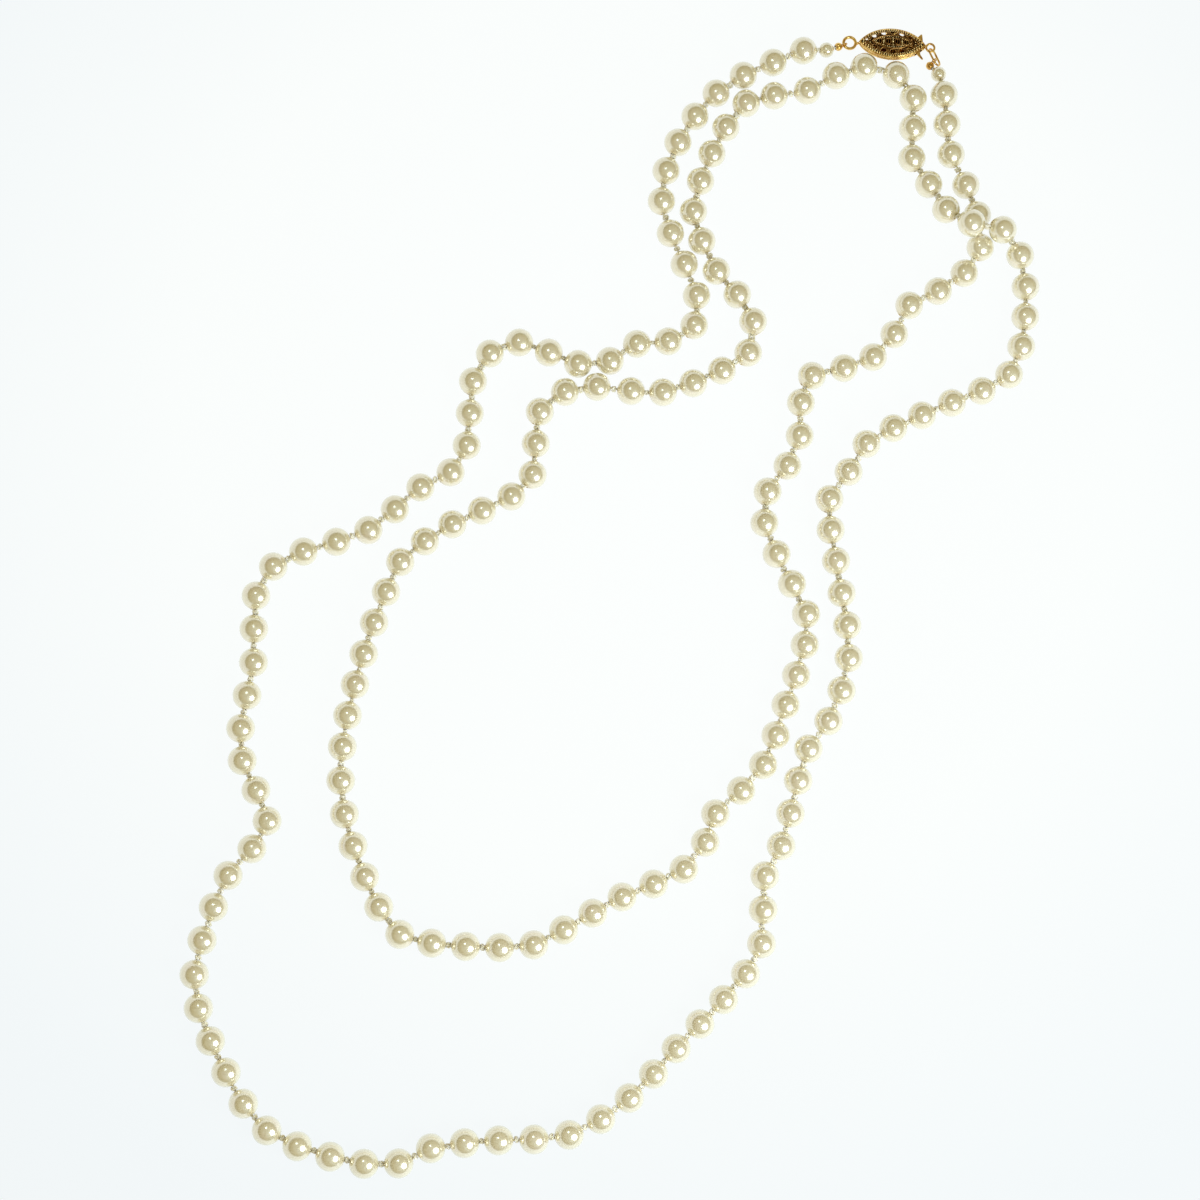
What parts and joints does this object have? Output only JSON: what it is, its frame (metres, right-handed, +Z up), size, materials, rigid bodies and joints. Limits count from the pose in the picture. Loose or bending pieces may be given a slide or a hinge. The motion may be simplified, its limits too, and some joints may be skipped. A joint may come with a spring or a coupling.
{
  "type": "pearl necklace",
  "caption": "Long knotted string of round cream pearls laid in two laps, closed by a pierced marquise fish-hook clasp in gold.",
  "frame": {"origin": "on the table under the middle of the laid-out necklace", "axes": "+X to the right and +Y away from the viewer along the lengthwise laps, +Z up from the table"},
  "size_m": [0.1938, 0.2658, 0.0115],
  "materials": {
    "nacre": "smooth lustrous cream nacre, faint pink and green overtones, mirror-like highlights",
    "silk": "twisted cream silk thread, hand-tied knots",
    "gold": "polished yellow gold, darkened in the recesses of the piercing"
  },
  "bodies": {
    "necklace": {"strand_section_01": "nacre", "strand_section_02": "nacre", "strand_section_03": "nacre", "strand_section_04": "nacre", "strand_section_05": "nacre", "strand_section_06": "nacre", "strand_section_07": "nacre", "strand_section_08": "nacre", "strand_section_09": "nacre", "strand_section_10": "nacre", "strand_section_11": "nacre", "strand_section_12": "nacre", "strand_section_13": "nacre", "strand_section_14": "nacre", "strand_section_15": "nacre", "strand_section_16": "nacre", "strand_section_17": "nacre", "strand_section_18": "nacre", "strand_section_19": "nacre", "strand_section_20": "nacre", "strand_section_21": "nacre", "strand_section_22": "nacre", "strand_section_23": "nacre", "strand_section_24": "nacre", "strand_section_25": "nacre", "strand_section_26": "nacre", "strand_section_27": "nacre", "strand_section_28": "nacre", "strand_section_29": "nacre", "strand_section_30": "nacre", "strand_section_31": "nacre", "strand_section_32": "nacre", "strand_section_33": "nacre", "strand_section_34": "nacre", "silk_box_end": "silk", "bead_tip_box_end": "gold", "clasp_front_shell": "gold", "clasp_back_shell": "gold", "clasp_crossbar": "gold", "clasp_box_ring": "gold"},
    "hook": {"hook_shank": "gold", "hook_ring": "gold"},
    "spring_leaf": {"hook_spring_leaf": "gold"},
    "strand_end": {"silk_hook_end": "silk", "bead_tip_hook_end": "gold", "connecting_link": "gold"},
    "small_pearl_box_end_turning": {"small_pearl_box_end": "nacre"},
    "pearl_001_turning": {"pearl_001": "nacre"},
    "pearl_002_turning": {"pearl_002": "nacre"},
    "pearl_003_turning": {"pearl_003": "nacre"},
    "pearl_173_turning": {"pearl_173": "nacre"},
    "pearl_174_turning": {"pearl_174": "nacre"},
    "pearl_175_turning": {"pearl_175": "nacre"},
    "small_pearl_hook_end_turning": {"small_pearl_hook_end": "nacre"}
  },
  "joints": [
    {"name": "hook_slide", "type": "slide", "parent": "necklace", "child": "hook", "axis": [0.9989, -0.0471, 0], "range_m": [0, 0.005]},
    {"name": "thumb_press", "type": "hinge", "parent": "hook", "child": "spring_leaf", "pos_m": [0.05846, 0.12949, 0.00178], "axis": [0.0471, 0.9989, 0], "range_deg": [0, 2], "stiffness_Nm_per_rad": 0.002},
    {"name": "strand_end_swing", "type": "hinge", "parent": "necklace", "child": "strand_end", "pos_m": [0.07875, 0.09795, 0.00325], "axis": [0, 0, -1], "range_deg": [0, 9.3]},
    {"name": "small_pearl_box_end_spin", "type": "hinge", "parent": "necklace", "child": "small_pearl_box_end_turning", "pos_m": [0.0484, 0.1275, 0.0021], "axis": [-0.9496, -0.2395, 0.2022], "continuous": true},
    {"name": "pearl_001_spin", "type": "hinge", "parent": "necklace", "child": "pearl_001_turning", "pos_m": [0.0428, 0.1268, 0.00325], "axis": [-0.9599, -0.2615, 0.1013], "continuous": true},
    {"name": "pearl_002_spin", "type": "hinge", "parent": "necklace", "child": "pearl_002_turning", "pos_m": [0.03564, 0.12373, 0.00325], "axis": [-0.9117, -0.4109, 0], "continuous": true},
    {"name": "pearl_003_spin", "type": "hinge", "parent": "necklace", "child": "pearl_003_turning", "pos_m": [0.0286, 0.1204, 0.00325], "axis": [-0.8641, -0.5033, 0], "continuous": true},
    {"name": "pearl_173_spin", "type": "hinge", "parent": "strand_end", "child": "pearl_173_turning", "pos_m": [0.0771, 0.1017, 0.00325], "axis": [-0.2581, 0.9661, 0], "continuous": true},
    {"name": "pearl_174_spin", "type": "hinge", "parent": "strand_end", "child": "pearl_174_turning", "pos_m": [0.0763, 0.1091, 0.00325], "axis": [-0.0879, 0.9961, 0], "continuous": true},
    {"name": "pearl_175_spin", "type": "hinge", "parent": "strand_end", "child": "pearl_175_turning", "pos_m": [0.0758, 0.1164, 0.00325], "axis": [-0.1226, 0.9873, -0.1014], "continuous": true},
    {"name": "small_pearl_hook_end_spin", "type": "hinge", "parent": "strand_end", "child": "small_pearl_hook_end_turning", "pos_m": [0.0748, 0.1219, 0.0021], "axis": [-0.4, 0.8895, -0.2209], "continuous": true}
  ],
  "couplings": [
    {"joint": "strand_end_swing", "follows": "hook_slide", "rad_per_m": 32.1}
  ]
}
